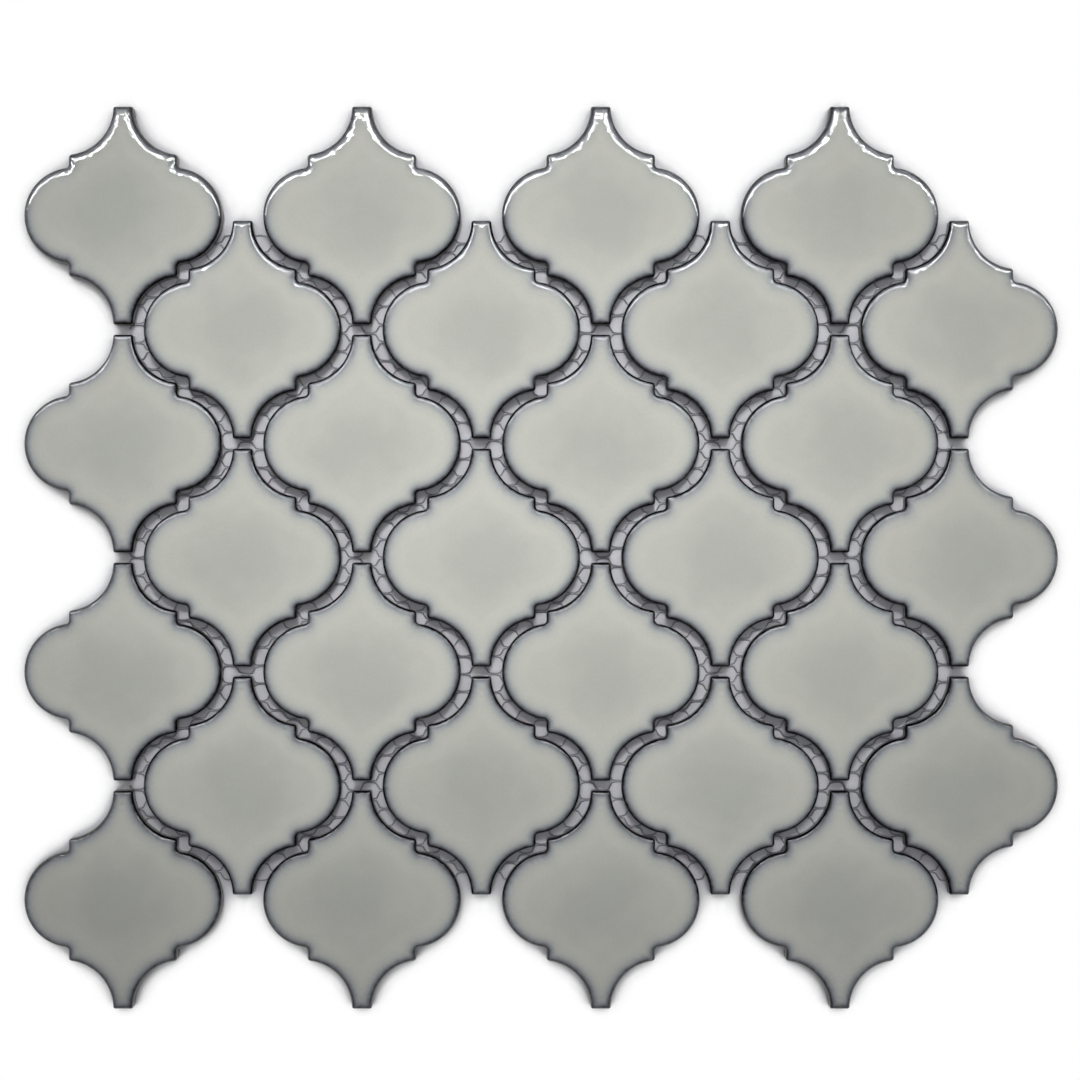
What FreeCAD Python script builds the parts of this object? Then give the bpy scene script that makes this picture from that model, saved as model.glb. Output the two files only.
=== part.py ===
# A sheet of glazed lantern mosaic, as it is sold for walls and floors.
# Pressed and glazed ceramic tiles of one shape stand in staggered rows,
# with open joints between them, on a net that is glued to their backs.
# The sheet lies flat, glaze up, with its middle at the origin.
import FreeCAD, Part
import Sketcher
import math
import os

doc = FreeCAD.newDocument("lantern_mosaic_sheet")

# Driving dimensions, in millimetres
dims = doc.addObject("Spreadsheet::Sheet", "dims")
sizes = [
    ("column_pitch", 72.9, "from one tile to the next in its row"),
    ("row_pitch", 69.6, "from one tile to the next in its column"),
    ("tile_width", 60.4, "over the two bellies"),
    ("tile_height", 66.6, "over the two necks"),
    ("curve_radius", 14.7, "of the bellies and of the neck's sides"),
    ("neck_width", 6.1, "of each end of a tile"),
    ("shoulder_width", 33.2, "between the upright steps"),
    ("shoulder_radius", 1.1, "of the corners of the outline at the steps"),
    ("tip_radius", 0.7, "of the corners of the outline at the ends of a tile"),
    ("tile_thickness", 5.0, "of a tile, with its glaze"),
    ("rim_radius", 2.0, "of the rounded upper rim"),
    ("net_thickness", 0.5, "of the backing net"),
    ("cell_pitch", 5.5, "between cells of the net, across their flats"),
    ("pillar_width", 0.9, "of the thick threads along the sheet"),
    ("lap_width", 0.55, "of the thin slanted threads"),
    ("net_side_reach", 2.0, "of the net past the outer tiles' middles, at the sides"),
    ("net_end_inset", 4.0, "of the net from the outer tiles' middles, at the ends"),
]
for line, (name, value, meaning) in enumerate(sizes, start=1):
    dims.set(f"A{line}", name)
    dims.set(f"B{line}", str(value))
    dims.set(f"C{line}", meaning)
    dims.setAlias(f"B{line}", name)
doc.recompute()

# Counts: every second row is moved along by half a tile's pitch
rows = 7
tiles_in_row = 4
net_columns_in_strip = 6


# The tile, pressed in one mould: two round bellies, a narrow neck at each end,
# and a short upright step at each of the four shoulders.
tile = doc.addObject("PartDesign::Body", "tile")
outline = tile.newObject("Sketcher::SketchObject", "tile_outline")
flat_plane = [plane for plane in tile.Origin.OriginFeatures if plane.Role == "XY_Plane"][0]
outline.AttachmentSupport = [(flat_plane, "")]
outline.MapMode = "FlatFace"

half_width = dims.tile_width / 2
half_height = dims.tile_height / 2
half_neck = dims.neck_width / 2
half_shoulder = dims.shoulder_width / 2
radius = dims.curve_radius
belly_x = half_width - radius
neck_x = half_neck + radius
step_low = math.sqrt(radius**2 - (half_shoulder - belly_x) ** 2)
step_high = half_height - math.sqrt(radius**2 - (neck_x - half_shoulder) ** 2)


def point(x, y):
    return FreeCAD.Vector(x, y, 0)


def arc(centre, start, end):
    """An arc that runs anticlockwise from start to end, as a sketch wants it."""
    circle = Part.Circle(centre, FreeCAD.Vector(0, 0, 1), radius)
    first = math.atan2(start.y - centre.y, start.x - centre.x)
    last = math.atan2(end.y - centre.y, end.x - centre.x)
    return Part.ArcOfCircle(circle, first, last)


# One quarter after another, anticlockwise from the right belly. In the first and
# third quarter the outline runs from the belly to the neck, in the others back.
START, END, CENTRE = 1, 2, 3
ORIGIN, X_AXIS = (-1, 1), -1
quarters = [(1, 1), (-1, 1), (-1, -1), (1, -1)]
steps = {}
necks = {}
for side, end in quarters:
    low = point(side * half_shoulder, end * step_low)
    high = point(side * half_shoulder, end * step_high)
    tip = point(side * half_neck, end * half_height)
    centre = point(side * neck_x, end * half_height)
    steps[side, end] = outline.addGeometry(Part.LineSegment(low, high))
    ends = (tip, high) if side * end > 0 else (high, tip)
    necks[side, end] = outline.addGeometry(arc(centre, *ends))
bellies = {}
for side in (1, -1):
    low = point(side * half_shoulder, -side * step_low)
    high = point(side * half_shoulder, side * step_low)
    bellies[side] = outline.addGeometry(arc(point(side * belly_x, 0), low, high))
tips = {}
for end in (1, -1):
    left = point(-half_neck, end * half_height)
    right = point(half_neck, end * half_height)
    tips[end] = outline.addGeometry(Part.LineSegment(left, right))

# The outline's sizes, each worked out from the sheet
formulas = {
    "radius": "dims.curve_radius",
    "belly_x": "dims.tile_width / 2 - dims.curve_radius",
    "neck_x": "dims.neck_width / 2 + dims.curve_radius",
    "half_height": "dims.tile_height / 2",
    "half_shoulder": "dims.shoulder_width / 2",
}


def bind(name, kind, *places):
    """Add a constraint and tie its size to the sheet."""
    formula = formulas[name]
    value = outline.evalExpression(formula)
    index = outline.addConstraint(Sketcher.Constraint(kind, *places, float(value)))
    outline.setExpression(f"Constraints[{index}]", formula)


for side, end in quarters:
    step, neck, belly, tip = steps[side, end], necks[side, end], bellies[side], tips[end]
    neck_top, neck_foot = (START, END) if side * end > 0 else (END, START)
    belly_end = END if side * end > 0 else START
    tip_end = END if side > 0 else START
    outline.addConstraint(Sketcher.Constraint("Coincident", step, START, belly, belly_end))
    outline.addConstraint(Sketcher.Constraint("Coincident", step, END, neck, neck_foot))
    outline.addConstraint(Sketcher.Constraint("Coincident", neck, neck_top, tip, tip_end))
    outline.addConstraint(Sketcher.Constraint("Vertical", step))
    bind("radius", "Radius", neck)
    across = (ORIGIN, (neck, CENTRE)) if side > 0 else ((neck, CENTRE), ORIGIN)
    upward = (ORIGIN, (neck, CENTRE)) if end > 0 else ((neck, CENTRE), ORIGIN)
    bind("neck_x", "DistanceX", *across[0], *across[1])
    bind("half_height", "DistanceY", *upward[0], *upward[1])
    across = (ORIGIN, (step, START)) if side > 0 else ((step, START), ORIGIN)
    bind("half_shoulder", "DistanceX", *across[0], *across[1])
for side in (1, -1):
    outline.addConstraint(Sketcher.Constraint("PointOnObject", bellies[side], CENTRE, X_AXIS))
    bind("radius", "Radius", bellies[side])
    across = (ORIGIN, (bellies[side], CENTRE)) if side > 0 else ((bellies[side], CENTRE), ORIGIN)
    bind("belly_x", "DistanceX", *across[0], *across[1])
for end in (1, -1):
    outline.addConstraint(Sketcher.Constraint("Horizontal", tips[end]))
    upward = (ORIGIN, (tips[end], START)) if end > 0 else ((tips[end], START), ORIGIN)
    bind("half_height", "DistanceY", *upward[0], *upward[1])

pressing = tile.newObject("PartDesign::Pad", "tile_pressing")
pressing.Profile = outline
pressing.setExpression("Length", "dims.tile_thickness")
doc.recompute()


def sharp_corners(shape, is_wanted):
    """The names of the upright edges whose place in the outline is wanted."""
    return [
        f"Edge{number}"
        for number, edge in enumerate(shape.Edges, start=1)
        if abs(edge.tangentAt(edge.FirstParameter).z) > 0.5 and is_wanted(edge.CenterOfMass)
    ]


# The corners of the outline are eased, and the glaze rolls over the upper rim.
ends_start = (half_height + step_high) / 2
tip_corners = tile.newObject("PartDesign::Fillet", "tile_tip_corners")
tip_corners.Base = (pressing, sharp_corners(pressing.Shape, lambda place: abs(place.y) > ends_start))
tip_corners.setExpression("Radius", "dims.tip_radius")
doc.recompute()

shoulders = tile.newObject("PartDesign::Fillet", "tile_shoulders")
shoulders.Base = (tip_corners, sharp_corners(tip_corners.Shape, lambda place: abs(place.y) < ends_start))
shoulders.setExpression("Radius", "dims.shoulder_radius")
doc.recompute()

faces = shoulders.Shape.Faces
face = max(range(len(faces)), key=lambda number: faces[number].CenterOfMass.z)
rim = tile.newObject("PartDesign::Fillet", "tile_rim")
rim.Base = (shoulders, [f"Face{face + 1}"])
rim.setExpression("Radius", "dims.rim_radius")
tile.Tip = rim
doc.recompute()

# The tiles of the sheet, all from that one mould, standing on the net
parts = []
for row in range(1, rows + 1):
    rows_up = (rows + 1) / 2 - row
    shift = -0.25 if row % 2 else 0.25
    for column in range(1, tiles_in_row + 1):
        columns_right = column - (tiles_in_row + 1) / 2 + shift
        copy = doc.addObject("App::Link", f"tile_r{row}_c{column}")
        copy.LinkedObject = tile
        copy.setExpression("Placement.Base.x", f"dims.column_pitch * {columns_right}")
        copy.setExpression("Placement.Base.y", f"dims.row_pitch / 2 * {rows_up}")
        copy.setExpression("Placement.Base.z", "dims.net_thickness")
        copy.Label = copy.Name
        parts.append(copy)


# The backing net, knitted with six-sided cells. Thick pillars of thread run along
# the sheet and thin laps slant from one to the next. It is cut to a rectangle.
pitch = dims.cell_pitch
cell_side = pitch / math.sqrt(3)
column_step = 1.5 * cell_side
hole_corner = cell_side - dims.lap_width / math.sqrt(3)
hole_flat = (pitch - dims.pillar_width) / 2
hole_top = hole_corner - hole_flat / math.sqrt(3)

net_half_length = dims.column_pitch * (2 * tiles_in_row - 1) / 4 + dims.net_side_reach
net_width = dims.row_pitch * (rows - 1) / 2 - 2 * dims.net_end_inset
outer_column = int((net_half_length - cell_side) / column_step)
cells_across = int((net_width - dims.pillar_width) / pitch)
net_edge = (cells_across * pitch + dims.pillar_width) / 2


def cell_hole(column, y):
    """The open cell, clockwise, because it is a hole in the net."""
    x = column * column_step
    places = [
        (x + hole_corner, y),
        (x + hole_top, y - hole_flat),
        (x - hole_top, y - hole_flat),
        (x - hole_corner, y),
        (x - hole_top, y + hole_flat),
        (x + hole_top, y + hole_flat),
    ]
    return Part.makePolygon([point(*place) for place in places + places[:1]])


def cut_edge(first, last, end):
    """The net's upper or lower edge, where every second column ends in a cut cell."""
    mouth = hole_corner - dims.pillar_width / 2 / math.sqrt(3)
    middle = end * cells_across * pitch / 2
    places = []
    for column in range(first, last + 1):
        if column % 2:
            x = column * column_step
            places += [
                (x - mouth, end * net_edge),
                (x - hole_corner, middle),
                (x - hole_top, middle - end * hole_flat),
                (x + hole_top, middle - end * hole_flat),
                (x + hole_corner, middle),
                (x + mouth, end * net_edge),
            ]
    return places


def zigzag(column):
    """The line of laps at the left of a column, from the lower to the upper edge."""
    x = column * column_step
    if column == -outer_column:
        x -= dims.lap_width / math.sqrt(3)
    if column == outer_column + 1:
        x += dims.lap_width / math.sqrt(3)
    places = []
    for step in range(2 * cells_across + 1):
        reach = cell_side if (step + column) % 2 else cell_side / 2
        places.append((x - reach, (step - cells_across) * pitch / 2))
    return [(places[0][0], -net_edge)] + places + [(places[-1][0], net_edge)]


strip = 0
for first in range(-outer_column, outer_column + 1, net_columns_in_strip):
    strip += 1
    last = min(first + net_columns_in_strip - 1, outer_column)
    border = cut_edge(first, last, -1) + zigzag(last + 1)
    border += cut_edge(first, last, 1)[::-1] + zigzag(first)[::-1]
    wires = [Part.makePolygon([point(*place) for place in border + border[:1]])]
    for column in range(first, last + 1):
        cut_cells = 1 if column % 2 else 0
        for cell in range(cells_across - cut_cells):
            wires.append(cell_hole(column, (cell - (cells_across - 1 - cut_cells) / 2) * pitch))
    net = doc.addObject("Part::Feature", f"backing_net_{strip}")
    net.Shape = Part.Face(wires).extrude(FreeCAD.Vector(0, 0, dims.net_thickness))
    net.Label = net.Name
    parts.append(net)
doc.recompute()

# Every object has to be sound before anything is written
for item in doc.Objects:
    if "Invalid" in item.State or "Error" in item.State:
        raise RuntimeError(f"{item.Label} failed: {item.State}")
for item in parts:
    shape = Part.getShape(item)
    if shape.isNull() or not shape.isValid() or len(shape.Solids) != 1:
        raise RuntimeError(f"{item.Label} is not one sound solid")

os.makedirs("parts", exist_ok=True)
for item in parts:
    Part.getShape(item).exportStep(f"parts/{item.Label}.step")
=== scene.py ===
import math
import random

import bmesh
import bpy
from mathutils import Matrix, Vector, geometry


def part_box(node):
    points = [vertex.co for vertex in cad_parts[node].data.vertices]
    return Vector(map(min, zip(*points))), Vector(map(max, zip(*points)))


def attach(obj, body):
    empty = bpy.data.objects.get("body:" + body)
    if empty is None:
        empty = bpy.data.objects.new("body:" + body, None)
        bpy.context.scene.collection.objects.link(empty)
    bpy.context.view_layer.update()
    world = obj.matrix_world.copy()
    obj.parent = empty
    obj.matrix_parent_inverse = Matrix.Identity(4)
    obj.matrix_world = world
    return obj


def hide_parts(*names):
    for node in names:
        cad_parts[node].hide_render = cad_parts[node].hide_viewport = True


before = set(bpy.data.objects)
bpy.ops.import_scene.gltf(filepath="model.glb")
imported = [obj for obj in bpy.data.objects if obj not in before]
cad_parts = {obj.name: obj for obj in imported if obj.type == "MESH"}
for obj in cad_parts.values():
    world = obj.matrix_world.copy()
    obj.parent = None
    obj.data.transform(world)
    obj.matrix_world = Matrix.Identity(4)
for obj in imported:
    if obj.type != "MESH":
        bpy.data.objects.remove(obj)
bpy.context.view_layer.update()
scene = bpy.context.scene

# The tiles. Each is pressed from dark clay in one lantern-shaped mould, dipped in a thick
# glossy glaze that rolls over the upper rim, and fired. They lie in staggered rows with
# open joints, glued by their backs to the net. Sizes are in millimetres.
MM = 0.001
tile_width, tile_height = 60.4, 66.6
curve_radius, neck_width, shoulder_width = 14.7, 6.1, 33.2
shoulder_radius, tip_radius = 1.1, 0.7
rim_radius, back_chamfer = 2.0, 0.2
crown_reach, crown_tilt = 4.6, math.radians(17)
curve_steps, hollow_steps, corner_steps, straight_steps, rim_steps = 20, 5, 4, 3, 7

half_height, half_shoulder = tile_height / 2, shoulder_width / 2
belly = Vector((tile_width / 2 - curve_radius, 0))
neck = Vector((neck_width / 2 + curve_radius, half_height))
right, left, up = Vector((1, 0)), Vector((-1, 0)), Vector((0, 1))


def arc(centre, radius, start, end, steps):
    """Points of an arc from one direction to another, without the last one."""
    first = math.atan2(start.y, start.x)
    sweep = (math.atan2(end.y, end.x) - first + math.pi) % math.tau - math.pi
    angles = [first + sweep * step / steps for step in range(steps)]
    return [centre + radius * Vector((math.cos(a), math.sin(a))) for a in angles]


def tile_quarter(inset):
    """The outline from the right belly to the upper tip, moved inwards by inset."""
    def step_and_belly(depth):
        x = half_shoulder - depth
        return Vector((x, math.sqrt((curve_radius - depth) ** 2 - (x - belly.x) ** 2)))

    def step_and_neck(depth):
        x = half_shoulder - depth
        return Vector((x, half_height - math.sqrt((curve_radius + depth) ** 2 - (neck.x - x) ** 2)))

    def tip_and_neck(depth):
        x = neck.x - math.sqrt((curve_radius + depth) ** 2 - depth**2)
        return Vector((x, half_height - depth))

    def eased(corner):
        return max(corner - inset, min(inset / 2, neck_width / 2 - inset))

    shoulder_eased, tip_eased = eased(shoulder_radius), eased(tip_radius)
    hollow = step_and_belly(-shoulder_radius)
    shoulder = step_and_neck(inset + shoulder_eased)
    tip = tip_and_neck(inset + tip_eased)
    step_foot = Vector((half_shoulder - inset, hollow.y))
    step_head = Vector((half_shoulder - inset, shoulder.y))
    tip_parts = [part / (straight_steps - 1) for part in range(straight_steps)]
    points = arc(belly, curve_radius - inset, right, hollow - belly, curve_steps)
    points += arc(hollow, shoulder_radius + inset, belly - hollow, left, hollow_steps)
    points += [step_foot.lerp(step_head, part / straight_steps) for part in range(straight_steps)]
    points += arc(shoulder, shoulder_eased, right, neck - shoulder, corner_steps)
    points += arc(neck, curve_radius + inset, shoulder - neck, tip - neck, curve_steps)
    points += arc(tip, tip_eased, neck - tip, up, corner_steps)
    points += [Vector((tip.x * (1 - part), half_height - inset)) for part in tip_parts]
    return points


def tile_ring(inset):
    """The whole outline, anticlockwise, moved inwards by inset."""
    quarter = tile_quarter(inset)
    mirrored = [Vector((-p.x, p.y)) for p in quarter[-2::-1]]
    half = quarter + mirrored
    return half[:-1] + [-p for p in half[:-1]]


tile_low, tile_high = (Vector(corner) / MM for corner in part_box("tile_r1_c1"))
back, top = tile_low.z, tile_high.z
rim_inset = rim_radius * (1 - math.sin(crown_tilt))
crown_drop = math.tan(crown_tilt) * (crown_reach - rim_inset) / 3


def face_height(inset):
    """The glaze stands a little higher in the middle of a tile than near its rim."""
    return top - crown_drop * max(0, 1 - (inset - rim_inset) / (crown_reach - rim_inset)) ** 3


# The profile runs up the wall, over the rolled rim and a little way onto the face
profile = [(back_chamfer, back), (0, back + back_chamfer)]
upright, flat_inset = math.radians(90), 2.6
for step in range(rim_steps + 1):
    tilt = upright + (crown_tilt - upright) * step / rim_steps
    rise = rim_radius * (math.cos(tilt) - math.cos(crown_tilt))
    profile.append((rim_radius * (1 - math.sin(tilt)), face_height(rim_inset) + rise))
for part in (0.25, 0.5, 0.75, 1):
    inset = rim_inset + (flat_inset - rim_inset) * part
    profile.append((inset, face_height(inset)))

vertices, rim_distance, faces = [], [], []
for inset, height in profile:
    ring = tile_ring(inset)
    vertices += [(p.x, p.y, height) for p in ring]
    rim_distance += [inset] * len(ring)
count = len(ring)
for band in range(len(profile) - 1):
    for i in range(count):
        low, low_next = band * count + i, band * count + (i + 1) % count
        faces.append((low, low_next, low_next + count, low + count))
faces.append(tuple(range(count))[::-1])

# Points over the face, so that the distance to the rim is known all over it
face_spacing, face_rows, face_columns, row_ratio = 1.5, 25, 21, 0.866
edge = tile_ring(0)
border = ring
inside = []
for row in range(-face_rows, face_rows + 1):
    for column in range(-face_columns, face_columns + 1):
        p = Vector(((column + row % 2 / 2) * face_spacing, row * face_spacing * row_ratio))
        crossings = sum(
            (a.y > p.y) != (b.y > p.y) and p.x < a.x + (p.y - a.y) / (b.y - a.y) * (b.x - a.x)
            for a, b in zip(border, border[1:] + border[:1]))
        if crossings % 2 and min((p - q).length for q in border) > face_spacing / 3:
            inside.append(p)
flat_points = border + inside
loop = [(i, (i + 1) % count) for i in range(count)]
inner_triangles, closest = 1, 1e-6
placed, _, triangles, *_ = geometry.delaunay_2d_cdt(flat_points, loop, [], inner_triangles, closest)
first_flat = len(vertices) - count
for p in placed[count:]:
    rim_distance.append(min((p - q).length for q in edge))
    vertices.append((p.x, p.y, face_height(rim_distance[-1])))
for triangle in triangles:
    a, b, c = (placed[i] for i in triangle)
    upside_down = (b - a).cross(c - a) < 0
    faces.append([first_flat + i for i in (triangle[::-1] if upside_down else triangle)])

tile_shape = bpy.data.meshes.new("tile_shape")
tile_shape.from_pydata([Vector(v) * MM for v in vertices], [], faces)
tile_shape.attributes.new("rim_mm", "FLOAT", "POINT").data.foreach_set("value", rim_distance)
pool_squash, smoothing_rounds, crease_angle = 1.1, 4, math.radians(65)
middle_distance = [math.hypot(x, y * pool_squash) for x, y, _ in vertices]
tile_shape.attributes.new("middle_mm", "FLOAT", "POINT").data.foreach_set("value", middle_distance)
levelled = bmesh.new()
levelled.from_mesh(tile_shape)
levelled.verts.ensure_lookup_table()
for _ in range(smoothing_rounds):
    bmesh.ops.smooth_vert(levelled, verts=levelled.verts[first_flat + count:], factor=0.5, use_axis_z=True)
levelled.to_mesh(tile_shape)
levelled.free()
tile_shape.shade_smooth()
tile_shape.set_sharp_from_angle(angle=crease_angle)


def add_node(tree, kind, sockets=None, **settings):
    """Add a node with its settings, and set or link its sockets; a node links by its first output."""
    node = tree.nodes.new(kind)
    for name, value in settings.items():
        setattr(node, name, value)
    for key, value in (sockets or {}).items():
        if isinstance(value, bpy.types.Node):
            value = value.outputs[0]
        if isinstance(value, bpy.types.NodeSocket):
            tree.links.new(value, node.inputs[key])
        else:
            node.inputs[key].default_value = value
    return node


def colour(code):
    """A colour written as in sRGB, in the linear values that the shaders take."""
    parts = [int(code[i:i + 2], 16) / 255 for i in (1, 3, 5)]
    return [x / 12.92 if x <= 0.04045 else ((x + 0.055) / 1.055) ** 2.4 for x in parts] + [1]


# Glossy grey stoneware glaze. It is thin and nearly black where it breaks over the rim, and the
# near-black edge line and the bluish grey fading inwards from it are partly that thin glaze and partly
# painted shade of the rolled rim and the joint beside it. It is palest in a ring a few millimetres in,
# and a little cooler where it lies level. The surface is wet-looking and slightly uneven, so long
# highlights come out broken.
glaze = bpy.data.materials.new("glossy_stoneware_glaze")
glaze.use_nodes = True
tree = glaze.node_tree
shader = tree.nodes["Principled BSDF"]
object_place = add_node(tree, "ShaderNodeTexCoord").outputs["Object"]
place = add_node(tree, "ShaderNodeVectorMath", {0: object_place, "Scale": 1 / MM}, operation="SCALE")
to_rim = add_node(tree, "ShaderNodeAttribute", attribute_name="rim_mm").outputs["Fac"]
to_middle = add_node(tree, "ShaderNodeAttribute", attribute_name="middle_mm").outputs["Fac"]
pool_size, dimple_size, grain_size, waver_reach, face_reach = 13, 1.5, 0.8, 0.25, 10
pools = add_node(tree, "ShaderNodeTexNoise", {"Vector": place, "Scale": 1 / pool_size, "Detail": 2})
dimples = add_node(tree, "ShaderNodeTexNoise", {"Vector": place, "Scale": 1 / dimple_size, "Detail": 1})
grain = add_node(tree, "ShaderNodeTexNoise", {"Vector": place, "Scale": 1 / grain_size, "Detail": 3})
waver = add_node(tree, "ShaderNodeMapRange", {
    "Value": dimples, "To Min": -waver_reach, "To Max": waver_reach})
depth = add_node(tree, "ShaderNodeMath", {0: to_rim, 1: waver})
ramp_place = add_node(tree, "ShaderNodeMath", {0: depth, 1: face_reach}, operation="DIVIDE")
ramp = add_node(tree, "ShaderNodeValToRGB", {0: ramp_place})
# Colours by distance from the rim in millimetres; the dark and bluish ones near the rim are partly painted
# shade
glaze_and_rim_shade = [
    (0.0, "#110e10"), (0.38, "#191517"), (0.65, "#424146"), (0.95, "#6c6e73"), (1.3, "#888b90"),
    (1.7, "#9d9fa2"), (2.2, "#aeb0af"), (2.8, "#babcb8"), (3.6, "#c3c4bd"), (5.0, "#c9c9c1"),
    (6.5, "#cacac2"), (8.5, "#c7c7bf"),
]
stops = ramp.color_ramp.elements
while len(stops) < len(glaze_and_rim_shade):
    stops.new(1)
for stop, (distance, code) in zip(stops, glaze_and_rim_shade):
    stop.position = distance / face_reach
    stop.color = colour(code)
pool_shift = add_node(tree, "ShaderNodeMapRange", {
    "Value": pools, "From Min": 0.25, "From Max": 0.75, "To Min": -6, "To Max": 6})
from_pool = add_node(tree, "ShaderNodeMath", {0: to_middle, 1: pool_shift})
pool_part = add_node(tree, "ShaderNodeMapRange", {
    "Value": from_pool, "From Min": 4, "From Max": 20, "To Min": 1, "To Max": 0},
    interpolation_type="SMOOTHSTEP")
pooled = add_node(tree, "ShaderNodeMix", {
    "Factor": pool_part, 6: ramp, 7: colour("#bcbdb6")}, data_type="RGBA").outputs[2]
tone = add_node(tree, "ShaderNodeAttribute", attribute_name="tone").outputs["Fac"]
grain_tone = add_node(tree, "ShaderNodeMapRange", {"Value": grain, "To Min": 0.95, "To Max": 1.05})
brightness = add_node(tree, "ShaderNodeMath", {0: grain_tone, 1: tone}, operation="MULTIPLY")
glaze_colour = add_node(tree, "ShaderNodeHueSaturation", {"Color": pooled, "Value": brightness})

# Below the glaze line on the side walls the dark clay is bare and dull, and so is the back
glaze_line, clay_line, clay_roughness = back + 1.1, back + 0.8, 0.85
wall_height = add_node(tree, "ShaderNodeSeparateXYZ", {0: place}).outputs["Z"]
wavering_height = add_node(tree, "ShaderNodeMath", {0: wall_height, 1: waver})
bare = add_node(tree, "ShaderNodeMapRange", {
    "Value": wavering_height, "From Min": clay_line, "From Max": glaze_line, "To Min": 1, "To Max": 0})
tile_colour = add_node(tree, "ShaderNodeMix", {
    "Factor": bare, 6: glaze_colour, 7: colour("#5b4d43")}, data_type="RGBA").outputs[2]
gloss = add_node(tree, "ShaderNodeMapRange", {"Value": pools, "To Min": 0.03, "To Max": 0.07})
roughness = add_node(tree, "ShaderNodeMix", {0: bare, 2: gloss, 3: clay_roughness})

# The glaze is most uneven just inside the rim, where it thickens, and calm over the face
wave_depth, dimple_depth = 0.10, 0.24
waves = add_node(tree, "ShaderNodeBump", {"Height": pools, "Distance": wave_depth * MM, "Strength": 1})
over_rim = add_node(tree, "ShaderNodeMapRange", {
    "Value": to_rim, "From Min": 1.2, "From Max": 1.9, "To Min": 0.35, "To Max": 1})
over_face = add_node(tree, "ShaderNodeMapRange", {
    "Value": to_rim, "From Min": 1.5, "From Max": 4, "To Min": 1, "To Max": 0.06})
unevenness = add_node(tree, "ShaderNodeMath", {0: over_rim, 1: over_face}, operation="MULTIPLY")
hollows = add_node(tree, "ShaderNodeBump", {
    "Height": dimples, "Distance": dimple_depth * MM, "Strength": unevenness, "Normal": waves})
tree.links.new(tile_colour, shader.inputs["Base Color"])
tree.links.new(roughness.outputs[0], shader.inputs["Roughness"])
tree.links.new(hollows.outputs[0], shader.inputs["Normal"])
shader.inputs["IOR"].default_value = 1.5

# One mould gives every tile; the firing gives each a slightly different tone
tile_shape.materials.append(glaze)
tone_spread = 0.03
firing = random.Random(7)
for node in sorted(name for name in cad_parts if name.startswith("tile_")):
    low_corner, high_corner = (Vector(corner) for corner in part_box(node))
    shape = tile_shape.copy()
    middle = (low_corner + high_corner) / 2
    shape.transform(Matrix.Translation((middle.x, middle.y, 0)))
    tones = shape.attributes.new("tone", "FLOAT", "POINT").data
    fired_tone = firing.uniform(1 - tone_spread, 1 + tone_spread)
    tones.foreach_set("value", [fired_tone] * len(tones))
    tile = bpy.data.objects.new("glazed_" + node, shape)
    scene.collection.objects.link(tile)
    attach(tile, "root")
    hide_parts(node)

# The backing net. It is knitted from polyester yarn into six-sided cells: two threads lie side by
# side in each pillar along the sheet and part into the slanted laps between. It is cut to a
# rectangle, laid flat and glued to the backs of the tiles.
cell_pitch, net_columns, cells_across = 5.5, 53, 36
column_step = 1.5 * cell_pitch / math.sqrt(3)
thread_width, pillar_width, net_thickness = 0.52, 0.9, back

# Matte polyester yarn, a flecked cool grey with the twist of its strands just showing. Its grey is
# partly the yarn's own and partly painted shade for the thin shadows along each thread. The twist
# is drawn coarse enough to show. Slanted bands of scale 1 lie tau / 10 apart along an axis.
polyester = bpy.data.materials.new("knitted_polyester_yarn")
polyester.use_nodes = True
tree = polyester.node_tree
shader = tree.nodes["Principled BSDF"]
object_place = add_node(tree, "ShaderNodeTexCoord").outputs["Object"]
place = add_node(tree, "ShaderNodeVectorMath", {0: object_place, "Scale": 1 / MM}, operation="SCALE")
fluff_size, twist_length, twist_depth, band_spacing = 0.5, 2.01, 0.06, math.tau / 10
fluff = add_node(tree, "ShaderNodeTexNoise", {"Vector": place, "Scale": 1 / fluff_size, "Detail": 3})
twist = add_node(tree, "ShaderNodeTexWave", {
    "Vector": place, "Scale": band_spacing / twist_length, "Distortion": 1.5, "Detail": 1},
    bands_direction="DIAGONAL")
# Darker than plain yarn: partly painted shade of the threads' own shadows
yarn_grey_and_painted_shade = add_node(tree, "ShaderNodeMix", {
    "Factor": fluff, 6: colour("#64656c"), 7: colour("#9c9da4")}, data_type="RGBA").outputs[2]
yarn_bump = add_node(tree, "ShaderNodeBump", {
    "Height": twist.outputs["Fac"], "Distance": twist_depth * MM, "Strength": 0.8})
tree.links.new(yarn_grey_and_painted_shade, shader.inputs["Base Color"])
tree.links.new(yarn_bump.outputs[0], shader.inputs["Normal"])
shader.inputs["Roughness"].default_value = 0.7

net_tree = bpy.data.node_groups.new("knitted_net", "GeometryNodeTree")
net_sizes = {
    "Cell Pitch": cell_pitch * MM, "Column Step": column_step * MM, "Thread Width": thread_width * MM,
    "Pillar Width": pillar_width * MM, "Thickness": net_thickness * MM,
}
for name in net_sizes:
    net_tree.interface.new_socket(name, in_out="INPUT", socket_type="NodeSocketFloat")
net_counts = {"Cells Across": cells_across, "Columns": net_columns}
for name in net_counts:
    net_tree.interface.new_socket(name, in_out="INPUT", socket_type="NodeSocketInt")
net_tree.interface.new_socket("Net", in_out="OUTPUT", socket_type="NodeSocketGeometry")
given = add_node(net_tree, "NodeGroupInput").outputs

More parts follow.
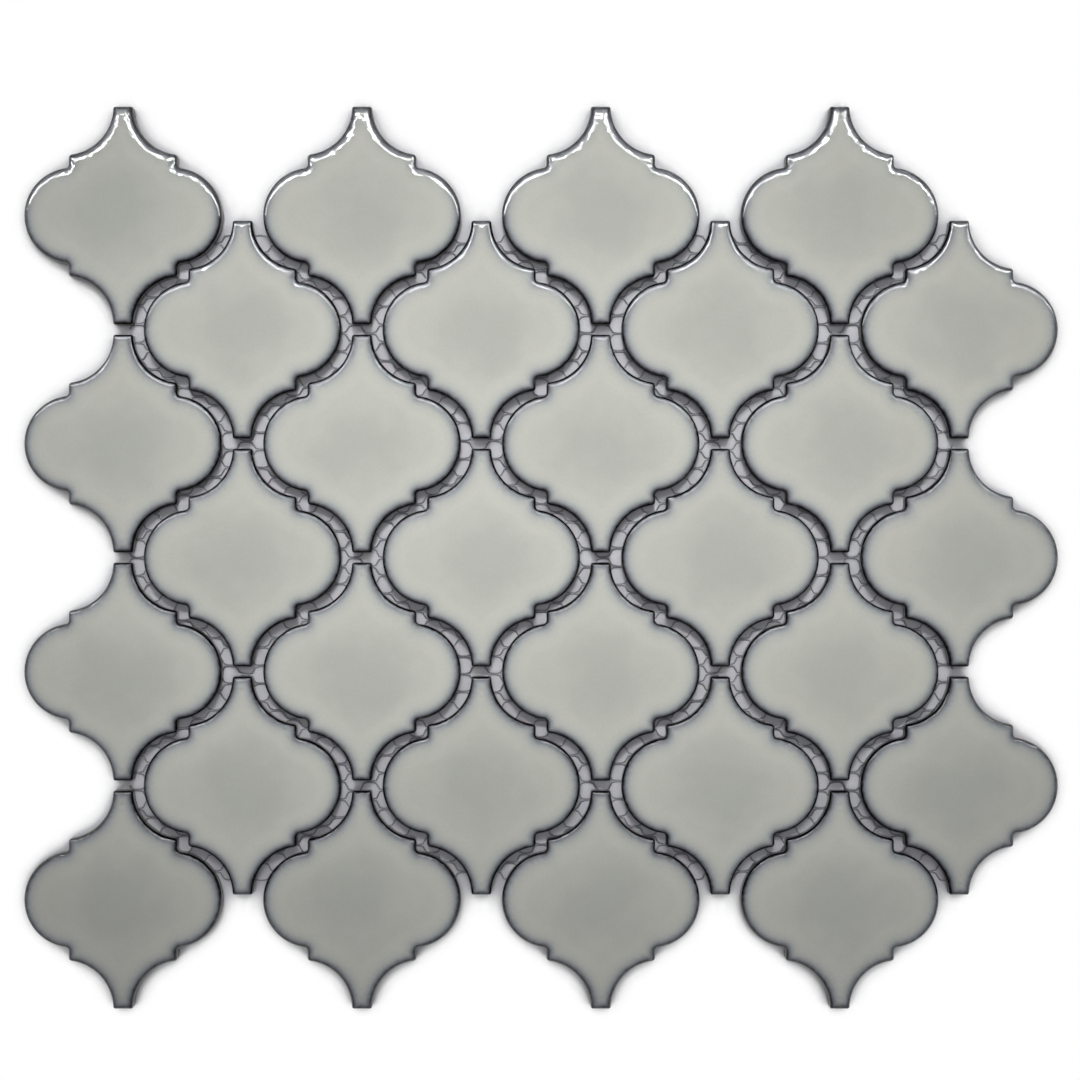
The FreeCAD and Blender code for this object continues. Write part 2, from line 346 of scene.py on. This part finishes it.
# A straight row of points, counted in columns; the points are drawn together where the
# thread bends, and the thread swings from one pillar up to the next one's level.
points_per_column, gather = 5, 0.6 / math.tau
reach = add_node(net_tree, "ShaderNodeMath", {0: given["Columns"], 1: 0.5}, operation="MULTIPLY")
start = add_node(net_tree, "ShaderNodeMath", {0: reach, 1: -1}, operation="MULTIPLY")
point_count = add_node(net_tree, "ShaderNodeMath", {
    0: given["Columns"], 1: points_per_column, 2: 1}, operation="MULTIPLY_ADD")
thread_row = add_node(net_tree, "GeometryNodeMeshLine", {
    "Count": point_count, "Start Location": add_node(net_tree, "ShaderNodeCombineXYZ", {0: start}),
    "Offset": add_node(net_tree, "ShaderNodeCombineXYZ", {0: reach})}, mode="END_POINTS")
position = add_node(net_tree, "GeometryNodeInputPosition")
evenly = add_node(net_tree, "ShaderNodeSeparateXYZ", {0: position}).outputs["X"]
turn = add_node(net_tree, "ShaderNodeMath", {0: evenly, 1: math.tau}, operation="MULTIPLY")
swing = add_node(net_tree, "ShaderNodeMath", {0: turn}, operation="SINE")
along = add_node(net_tree, "ShaderNodeMath", {0: swing, 1: gather, 2: evenly}, operation="MULTIPLY_ADD")
between = add_node(net_tree, "ShaderNodeMath", {0: along, 1: 1}, operation="PINGPONG")
lift = add_node(net_tree, "ShaderNodeMapRange", {
    "Value": between, "From Min": 0.3, "From Max": 0.7, "To Min": 0, "To Max": 1},
    interpolation_type="SMOOTHSTEP")
both_sides = add_node(net_tree, "ShaderNodeMath", {
    0: given["Pillar Width"], 1: given["Thread Width"]}, operation="SUBTRACT")
one_side = add_node(net_tree, "ShaderNodeMath", {0: both_sides, 1: 0.5}, operation="MULTIPLY")
half_cell = add_node(net_tree, "ShaderNodeMath", {0: given["Cell Pitch"], 1: 0.5}, operation="MULTIPLY")
climb = add_node(net_tree, "ShaderNodeMath", {0: half_cell, 1: both_sides}, operation="SUBTRACT")
thread_x = add_node(net_tree, "ShaderNodeMath", {0: along, 1: given["Column Step"]}, operation="MULTIPLY")
thread_y = add_node(net_tree, "ShaderNodeMath", {0: lift, 1: climb, 2: one_side}, operation="MULTIPLY_ADD")
thread_place = add_node(net_tree, "ShaderNodeCombineXYZ", {0: thread_x, 1: thread_y})
thread_row = add_node(net_tree, "GeometryNodeSetPosition", {"Geometry": thread_row, "Position": thread_place})
thread_line = add_node(net_tree, "GeometryNodeMeshToCurve", {"Mesh": thread_row})

# The yarn is a flattened round, as thick as the net
yarn_sides = 5
yarn_radius = add_node(net_tree, "ShaderNodeMath", {0: given["Thread Width"], 1: 0.5}, operation="MULTIPLY")
yarn = add_node(net_tree, "GeometryNodeCurvePrimitiveCircle", {
    "Resolution": yarn_sides, "Radius": yarn_radius})
flatness = add_node(net_tree, "ShaderNodeMath", {
    0: given["Thickness"], 1: given["Thread Width"]}, operation="DIVIDE")
flatten = add_node(net_tree, "ShaderNodeCombineXYZ", {0: 1, 1: 1, 2: flatness})
half_thickness = add_node(net_tree, "ShaderNodeMath", {0: given["Thickness"], 1: 0.5}, operation="MULTIPLY")
middle_height = add_node(net_tree, "ShaderNodeCombineXYZ", {2: half_thickness})

# Each pillar but the last sends a thread upwards, and each but the first one downwards
threads = add_node(net_tree, "GeometryNodeJoinGeometry")
across = add_node(net_tree, "ShaderNodeMath", {
    0: given["Cells Across"], 1: given["Cell Pitch"]}, operation="MULTIPLY")
first_pillar = add_node(net_tree, "ShaderNodeMath", {0: across, 1: -0.5}, operation="MULTIPLY")
second_pillar = add_node(net_tree, "ShaderNodeMath", {0: first_pillar, 1: given["Cell Pitch"]})
one_up = add_node(net_tree, "ShaderNodeCombineXYZ", {1: given["Cell Pitch"]})
for direction, lowest_pillar in ((1, first_pillar), (-1, second_pillar)):
    turned = add_node(net_tree, "GeometryNodeTransform", {
        "Geometry": thread_line, "Scale": (1, direction, 1)})
    thread = add_node(net_tree, "GeometryNodeCurveToMesh", {
        "Curve": turned, "Profile Curve": yarn, "Fill Caps": True})
    thread = add_node(net_tree, "GeometryNodeTransform", {
        "Geometry": thread, "Translation": middle_height, "Scale": flatten})
    pillars = add_node(net_tree, "GeometryNodeMeshLine", {
        "Count": given["Cells Across"], "Offset": one_up,
        "Start Location": add_node(net_tree, "ShaderNodeCombineXYZ", {1: lowest_pillar})})
    repeated = add_node(net_tree, "GeometryNodeInstanceOnPoints", {"Points": pillars, "Instance": thread})
    net_tree.links.new(repeated.outputs[0], threads.inputs[0])
laid = add_node(net_tree, "GeometryNodeRealizeInstances", {0: threads})

# The yarn is pulled a little out of line, as it is when the net is rolled and cut
pull_length, pull_reach = 9 * MM, 1.2 * MM
pull = add_node(net_tree, "ShaderNodeTexNoise", {
    "Vector": position, "Scale": 1 / pull_length, "Detail": 1}).outputs["Color"]
pull = add_node(net_tree, "ShaderNodeVectorMath", {0: pull, 1: (0.5, 0.5, 0.5)}, operation="SUBTRACT")
pull = add_node(net_tree, "ShaderNodeVectorMath", {
    0: pull, 1: (pull_reach, pull_reach, 0)}, operation="MULTIPLY")
laid = add_node(net_tree, "GeometryNodeSetPosition", {"Geometry": laid, "Offset": pull})
laid = add_node(net_tree, "GeometryNodeSetShadeSmooth", {"Geometry": laid})
laid = add_node(net_tree, "GeometryNodeSetMaterial", {"Geometry": laid, "Material": polyester})
add_node(net_tree, "NodeGroupOutput", {"Net": laid})

net_maker = bpy.data.objects.new("net_maker", bpy.data.meshes.new("net_maker"))
scene.collection.objects.link(net_maker)
knitting = net_maker.modifiers.new("knitting", "NODES")
knitting.node_group = net_tree
for socket in net_tree.interface.items_tree:
    if socket.in_out == "INPUT":
        knitting[socket.identifier] = {**net_sizes, **net_counts}[socket.name]
knitted = net_maker.evaluated_get(bpy.context.evaluated_depsgraph_get())
net = bpy.data.objects.new("backing_net", bpy.data.meshes.new_from_object(knitted))
bpy.data.objects.remove(net_maker)
scene.collection.objects.link(net)
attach(net, "root")
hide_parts(*sorted(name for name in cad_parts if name.startswith("backing_net_")))

# The floor, a plain white table top, laid out as one wide triangle so that no seam crosses the
# picture. Away from the tiles it shows pure white; close to them, and down in the joints, it
# shows its shading and their shadow on a lavender grey, darker than white paper as painted shade of
# the narrow joints.
floor_mesh = bpy.data.meshes.new("table_top")
far, clear_of_net = 20, 0.2 * MM
corners = ((0, 2 * far), (-2 * far, -far), (2 * far, -far))
floor_mesh.from_pydata([(x, y, -clear_of_net) for x, y in corners], [], [(0, 1, 2)])
paper = bpy.data.materials.new("white_table_top")
paper.use_nodes = True
tree = paper.node_tree
shader = tree.nodes["Principled BSDF"]
# A lavender grey rather than white: painted shade in the joints and close beside the tiles, where this colour
# shows
shader.inputs["Base Color"].default_value = colour("#bcbcc1")
shader.inputs["Roughness"].default_value = 0.9
shade_reach = 8 * MM
openness = add_node(tree, "ShaderNodeAmbientOcclusion", {"Distance": shade_reach}, samples=8).outputs["AO"]
open_part = add_node(tree, "ShaderNodeMapRange", {
    "Value": openness, "From Min": 0.5, "From Max": 0.85, "To Min": 0, "To Max": 1},
    interpolation_type="SMOOTHSTEP")
ray = add_node(tree, "ShaderNodeLightPath").outputs
seen_or_mirrored = add_node(tree, "ShaderNodeMath", {
    0: ray["Is Camera Ray"], 1: ray["Is Glossy Ray"]}, operation="MAXIMUM")
seen_at_all = add_node(tree, "ShaderNodeMath", {
    0: seen_or_mirrored, 1: ray["Is Transmission Ray"]}, operation="MAXIMUM")
white_part = add_node(tree, "ShaderNodeMath", {0: seen_at_all, 1: open_part}, operation="MULTIPLY")
white = add_node(tree, "ShaderNodeEmission", {"Color": (1, 1, 1, 1), "Strength": 1})
mixed = add_node(tree, "ShaderNodeMixShader", {0: white_part, 1: shader, 2: white})
tree.links.new(mixed.outputs[0], tree.nodes["Material Output"].inputs["Surface"])
floor_mesh.materials.append(paper)
floor = bpy.data.objects.new("table_top", floor_mesh)
scene.collection.objects.link(floor)

# The studio. A softbox with a grid stands beyond the upper edge of the sheet, so shadows fall towards
# the lower edge and the light fades that way. A panel overhead reaches into the joints, a thin strip
# close by shows only as the streak along each upper rim, and the room adds a weak light all round.
lamps = {
    "softbox": {"place": (0, 0.498, 0.77), "aim": (0, 0.035, 0), "size": (0.36, 0.22),
                "energy": 0.232, "spread": 22, "hidden_from": "visible_glossy"},
    "overhead_panel": {"place": (0, 0, 1.2), "aim": (0, 0, 0), "size": (0.5, 0.5),
                       "energy": 3.6, "spread": 180, "hidden_from": "visible_glossy"},
    "strip": {"place": (0, 0.164, 0.095), "aim": (0, 0, 0), "size": (0.8, 0.006),
              "energy": 1.8, "spread": 180, "hidden_from": "visible_diffuse"},
}
for name, lamp in lamps.items():
    light = bpy.data.lights.new(name, "AREA")
    light.shape, light.size, light.size_y = "RECTANGLE", *lamp["size"]
    light.energy, light.spread = lamp["energy"], math.radians(lamp["spread"])
    stand = bpy.data.objects.new(name, light)
    stand.location = lamp["place"]
    aim = Vector(lamp["aim"]) - stand.location
    stand.rotation_euler = aim.to_track_quat("-Z", "Y").to_euler()
    stand.visible_camera = False
    setattr(stand, lamp["hidden_from"], False)
    scene.collection.objects.link(stand)

room = bpy.data.worlds.new("studio_room")
room.use_nodes = True
backdrop = room.node_tree.nodes["Background"]
backdrop.inputs["Color"].default_value = colour("#dfe3ee")
backdrop.inputs["Strength"].default_value = 0.10
scene.world = room

# The camera looks straight down on the sheet, as the photograph does.
frame_width, sheet_distance = 328.7 * MM, 0.65
view_centre = (-0.33 * MM, 5.39 * MM)
camera = bpy.data.cameras.new("camera")
camera.sensor_width = 36
camera.lens = camera.sensor_width * sheet_distance / frame_width
camera_stand = bpy.data.objects.new("camera", camera)
camera_stand.location = (*view_centre, top * MM + sheet_distance)
scene.collection.objects.link(camera_stand)
scene.camera = camera_stand
scene.view_settings.view_transform = "Standard"
